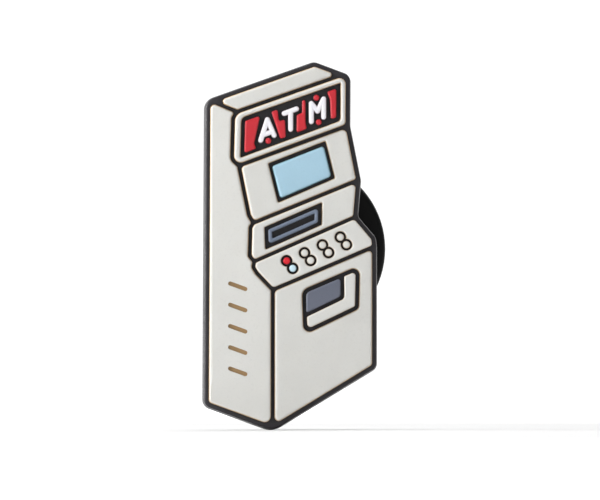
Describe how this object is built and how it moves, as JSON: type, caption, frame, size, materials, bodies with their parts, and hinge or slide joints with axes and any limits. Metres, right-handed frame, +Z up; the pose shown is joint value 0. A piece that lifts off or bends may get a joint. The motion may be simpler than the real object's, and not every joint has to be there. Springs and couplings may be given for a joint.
{
  "type": "atm machine shoe charm",
  "caption": "Push-in shoe charm moulded as a small cash machine in relief, with coloured pads on a black base and a round snap-in plug behind.",
  "frame": {"origin": "on the plug's axis, at the flat back face of the base", "axes": "+Z up the cabinet drawing, +X to its right seen from the front, +Y out of the back along the plug"},
  "size_m": [0.0133, 0.0085, 0.0264],
  "materials": {
    "base_black": "soft moulded, semi-matte",
    "plug_black": "satin moulded",
    "cream_pad": "soft moulded, semi-matte",
    "sign_red": "soft moulded, semi-matte",
    "letter_white": "soft moulded, semi-matte",
    "screen_blue": "soft moulded, semi-matte",
    "bezel_grey": "soft moulded, semi-matte",
    "flap_grey": "soft moulded, semi-matte",
    "key_red": "soft moulded, semi-matte",
    "key_blue": "soft moulded, semi-matte"
  },
  "bodies": {
    "root": {"base": "base_black", "cash_flap": "flap_grey", "cash_tray": "cream_pad", "crown_panel": "cream_pad", "key_3": "cream_pad", "key_4": "cream_pad", "key_5": "cream_pad", "key_6": "cream_pad", "key_7": "cream_pad", "key_8": "cream_pad", "key_blue": "key_blue", "key_panel": "cream_pad", "key_red": "key_red", "letter_a": "letter_white", "letter_m": "letter_white", "letter_t": "letter_white", "lower_panel": "cream_pad", "plug": "plug_black", "screen": "screen_blue", "screen_panel": "cream_pad", "side_panel": "cream_pad", "sign_dot_high_m": "sign_red", "sign_dot_low_a": "sign_red", "sign_dot_low_m": "sign_red", "sign_fill_a_t": "sign_red", "sign_fill_left": "sign_red", "sign_fill_right": "sign_red", "sign_fill_t_m": "sign_red", "sign_frame": "cream_pad", "slot_bezel": "bezel_grey", "slot_panel": "cream_pad"}
  },
  "joints": []
}
